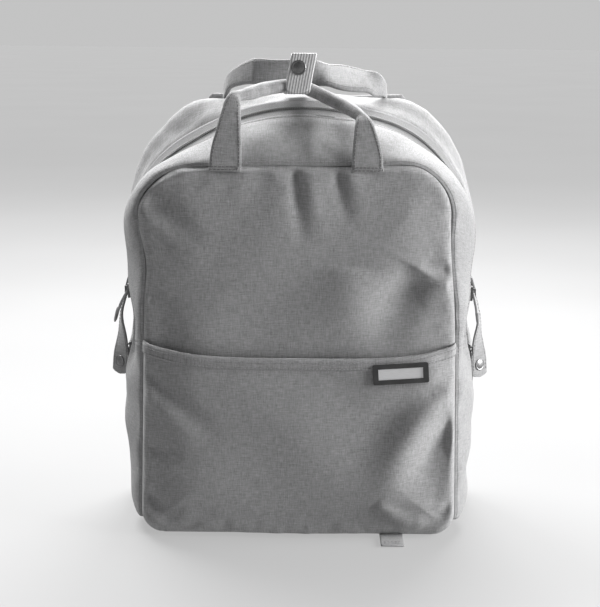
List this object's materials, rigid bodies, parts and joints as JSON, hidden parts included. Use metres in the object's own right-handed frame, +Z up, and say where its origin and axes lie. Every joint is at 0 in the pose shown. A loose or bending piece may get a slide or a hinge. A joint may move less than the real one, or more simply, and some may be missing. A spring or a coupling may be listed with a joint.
{
  "type": "school backpack",
  "caption": "Upright boxy school backpack with a zipped fold-down front flap, slip pocket, snap-joined carry handles, side zips and padded shoulder straps.",
  "frame": {"origin": "on the flat bottom, under the middle of the bag's body", "axes": "+Z up, the bag's front faces -Y, the wearer's back is at +Y, +X is the viewer's right when looking at the front"},
  "size_m": [0.3268, 0.1755, 0.409],
  "materials": {
    "shell_fabric": "woven melange polyester, matt",
    "lining": "plain woven lining",
    "air_mesh": "knitted spacer mesh",
    "webbing": "ribbed polyester webbing",
    "zip_tape": "woven zip tape",
    "zip_coil": "nylon coil",
    "slider_metal": "dark gunmetal",
    "pull_cord": "round cord",
    "pull_end": "moulded, matt",
    "snap_metal": "matt dark cap",
    "label_rubber": "moulded, satin",
    "label_insert": "brushed, blank",
    "buckle_plastic": "acetal"
  },
  "bodies": {
    "bag": {"back_panel": "shell_fabric", "bottom_panel": "shell_fabric", "rear_gusset": "shell_fabric", "lower_side_left": "shell_fabric", "lower_side_right": "shell_fabric", "lower_front_wall": "lining", "slip_pocket_panel": "shell_fabric", "pocket_binding": "shell_fabric", "label_frame": "label_rubber", "label_plate": "label_insert", "webbing_tail": "webbing", "zip_tape_rear": "zip_tape", "zip_coil_rear": "zip_coil", "side_zip_left": "zip_tape", "side_zip_right": "zip_tape", "back_pad_left": "air_mesh", "back_pad_right": "air_mesh", "lumbar_pad": "air_mesh", "strap_yoke": "shell_fabric", "luggage_strap": "shell_fabric", "strap_wings": "shell_fabric", "keeper_anchors": "shell_fabric", "keeper_studs": "snap_metal", "laptop_sleeve": "lining", "sleeve_strap": "webbing"},
    "front_flap": {"upper_front_panel": "shell_fabric", "upper_front_gusset": "shell_fabric", "zip_tape_front": "zip_tape", "zip_coil_front": "zip_coil", "front_handle_anchors": "shell_fabric"},
    "front_carry_handle": {"front_handle_grip": "shell_fabric", "front_handle_straps": "shell_fabric", "wrap_front": "webbing", "wrap_stud": "snap_metal"},
    "snap_tongue": {"wrap_tongue": "webbing", "wrap_snap_cap": "snap_metal"},
    "rear_carry_handle": {"rear_handle": "shell_fabric", "wrap_rear": "webbing"},
    "upper_slider_left": {"main_slider_left": "slider_metal"},
    "upper_pull_left": {"main_pull_cord_left": "pull_cord", "main_pull_end_left": "pull_end"},
    "lower_slider_left": {"side_slider_left": "slider_metal"},
    "lower_pull_left": {"side_pull_ring_left": "slider_metal", "side_pull_left": "slider_metal"},
    "keeper_left": {"keeper_strap_left": "shell_fabric", "keeper_cap_left": "snap_metal"},
    "shoulder_strap_left": {"shoulder_pad_left": "shell_fabric", "ladder_lock_left": "buckle_plastic", "shoulder_webbing_left": "webbing"},
    "upper_slider_right": {"main_slider_right": "slider_metal"},
    "upper_pull_right": {"main_pull_cord_right": "pull_cord", "main_pull_end_right": "pull_end"},
    "lower_slider_right": {"side_slider_right": "slider_metal"},
    "lower_pull_right": {"side_pull_ring_right": "slider_metal", "side_pull_right": "slider_metal"},
    "keeper_right": {"keeper_strap_right": "shell_fabric", "keeper_cap_right": "snap_metal"},
    "shoulder_strap_right": {"shoulder_pad_right": "shell_fabric", "ladder_lock_right": "buckle_plastic", "shoulder_webbing_right": "webbing"}
  },
  "joints": [
    {"name": "flap_fold", "type": "hinge", "parent": "bag", "child": "front_flap", "pos_m": [0, -0.071, 0.17], "axis": [1, 0, 0], "range_deg": [0, 80]},
    {"name": "front_handle_swing", "type": "hinge", "parent": "front_flap", "child": "front_carry_handle", "pos_m": [-0.004, -0.05, 0.327], "axis": [1, 0, 0], "range_deg": [0, 85]},
    {"name": "snap_tongue_open", "type": "hinge", "parent": "front_carry_handle", "child": "snap_tongue", "pos_m": [-0.002, -0.016, 0.4094], "axis": [-1, 0, 0], "range_deg": [0, 110]},
    {"name": "rear_handle_swing", "type": "hinge", "parent": "bag", "child": "rear_carry_handle", "pos_m": [0.001, 0.06, 0.3726], "axis": [-1, 0, 0], "range_deg": [0, 90]},
    {"name": "upper_zip_left", "type": "slide", "parent": "bag", "child": "upper_slider_left", "axis": [0, 0, 1], "range_m": [-0.01, 0.032]},
    {"name": "upper_pull_left_swing", "type": "hinge", "parent": "upper_slider_left", "child": "upper_pull_left", "pos_m": [-0.15095, 0, 0.206], "axis": [0, 1, 0], "range_deg": [0, 130]},
    {"name": "side_zip_left_slide", "type": "slide", "parent": "bag", "child": "lower_slider_left", "axis": [0, 0, 1], "range_m": [-0.11, 0.001]},
    {"name": "side_pull_left_swing", "type": "hinge", "parent": "lower_slider_left", "child": "lower_pull_left", "pos_m": [-0.15095, 0, 0.154], "axis": [0, 1, 0], "range_deg": [0, 100]},
    {"name": "keeper_left_swing", "type": "hinge", "parent": "bag", "child": "keeper_left", "pos_m": [-0.1549, 0.0195, 0.2053], "axis": [0, 1, 0], "range_deg": [0, 110]},
    {"name": "shoulder_strap_left_swing", "type": "hinge", "parent": "bag", "child": "shoulder_strap_left", "pos_m": [-0.143, 0.07, 0.048], "axis": [0.1882, 0.0239, 0.9818], "range_deg": [0, 40]},
    {"name": "upper_zip_right", "type": "slide", "parent": "bag", "child": "upper_slider_right", "axis": [0, 0, 1], "range_m": [-0.01, 0.032]},
    {"name": "upper_pull_right_swing", "type": "hinge", "parent": "upper_slider_right", "child": "upper_pull_right", "pos_m": [0.15095, 0, 0.206], "axis": [0, -1, 0], "range_deg": [0, 130]},
    {"name": "side_zip_right_slide", "type": "slide", "parent": "bag", "child": "lower_slider_right", "axis": [0, 0, 1], "range_m": [-0.11, 0.001]},
    {"name": "side_pull_right_swing", "type": "hinge", "parent": "lower_slider_right", "child": "lower_pull_right", "pos_m": [0.15095, 0, 0.154], "axis": [0, -1, 0], "range_deg": [0, 100]},
    {"name": "keeper_right_swing", "type": "hinge", "parent": "bag", "child": "keeper_right", "pos_m": [0.1549, 0.0195, 0.2053], "axis": [0, -1, 0], "range_deg": [0, 110]},
    {"name": "shoulder_strap_right_swing", "type": "hinge", "parent": "bag", "child": "shoulder_strap_right", "pos_m": [0.143, 0.07, 0.048], "axis": [0.1882, -0.0239, -0.9818], "range_deg": [0, 40]}
  ]
}
